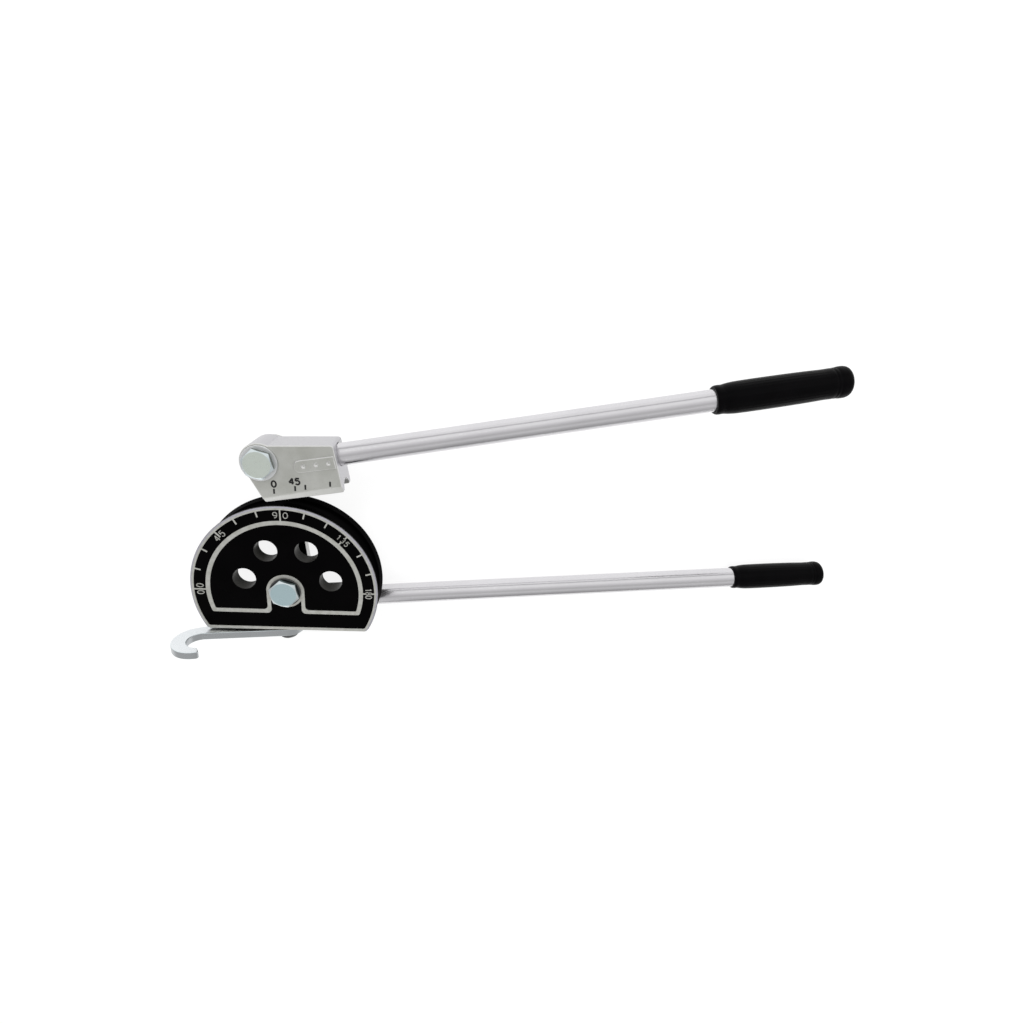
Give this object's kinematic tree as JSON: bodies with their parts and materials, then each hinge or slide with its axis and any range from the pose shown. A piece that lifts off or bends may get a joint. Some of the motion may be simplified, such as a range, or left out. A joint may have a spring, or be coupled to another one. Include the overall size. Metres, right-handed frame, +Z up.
{
  "type": "lever tube bender",
  "caption": "Hand tube bender with a D-shaped form wheel, degree dial, tube hook, and two long levers, one carrying a pivoting bending shoe.",
  "frame": {"origin": "axis of the link's pivot, at the bench that the tool lies on", "axes": "+Z up along both big pivots with the dial face up, +X from the form wheel along the handles, +Y from the wheel's flat edge towards its top"},
  "size_m": [0.65, 0.2935, 0.1028],
  "materials": {
    "black_enamel": "aluminium casting in gloss black enamel, raised dial lines bare",
    "link_enamel": "steel bar in black enamel",
    "cast_aluminium": "satin casting, face machined",
    "zinc_plate": "bright zinc plate",
    "hook_plate": "zinc-plated flat steel",
    "bright_tube": "bright drawn and plated tube",
    "bronze": "plain bearing bronze",
    "spring_steel": "dark spring steel",
    "black_vinyl": "moulded gloss vinyl"
  },
  "bodies": {
    "frame": {"form_wheel": "black_enamel", "pivot_bolt": "zinc_plate", "pivot_head_washer": "zinc_plate", "pivot_thrust_washer": "bronze", "pivot_nut_washer": "zinc_plate", "pivot_nut": "zinc_plate", "lower_handle_tube": "bright_tube", "lower_handle_pin_inner": "spring_steel", "lower_handle_pin_outer": "spring_steel", "lower_grip": "black_vinyl", "hook_screw": "zinc_plate", "hook_washer": "zinc_plate", "hook_spring_washer": "spring_steel"},
    "link": {"link_bar": "link_enamel", "link_bush": "bronze", "shoe_bolt": "zinc_plate", "shoe_head_washer": "zinc_plate", "shoe_thrust_washer": "bronze", "shoe_nut_washer": "zinc_plate", "shoe_nut": "zinc_plate"},
    "shoe": {"bending_shoe": "cast_aluminium", "shoe_bush": "bronze", "upper_handle_tube": "bright_tube", "upper_grip": "black_vinyl"},
    "hook": {"tube_hook": "hook_plate", "hook_sleeve": "bronze"}
  },
  "joints": [
    {"name": "link_pivot", "type": "hinge", "parent": "frame", "child": "link", "pos_m": [0, 0, 0.02235], "axis": [0, 0, 1], "range_deg": [-83.5, 96.5]},
    {"name": "shoe_pivot", "type": "hinge", "parent": "link", "child": "shoe", "pos_m": [-0.01392, 0.12412, 0.04675], "axis": [0, 0, 1], "range_deg": [-17, 150]},
    {"name": "hook_pivot", "type": "hinge", "parent": "frame", "child": "hook", "pos_m": [-0.0045, -0.0459, 0.04675], "axis": [0, 1, 0], "range_deg": [-27.6, 70]}
  ]
}
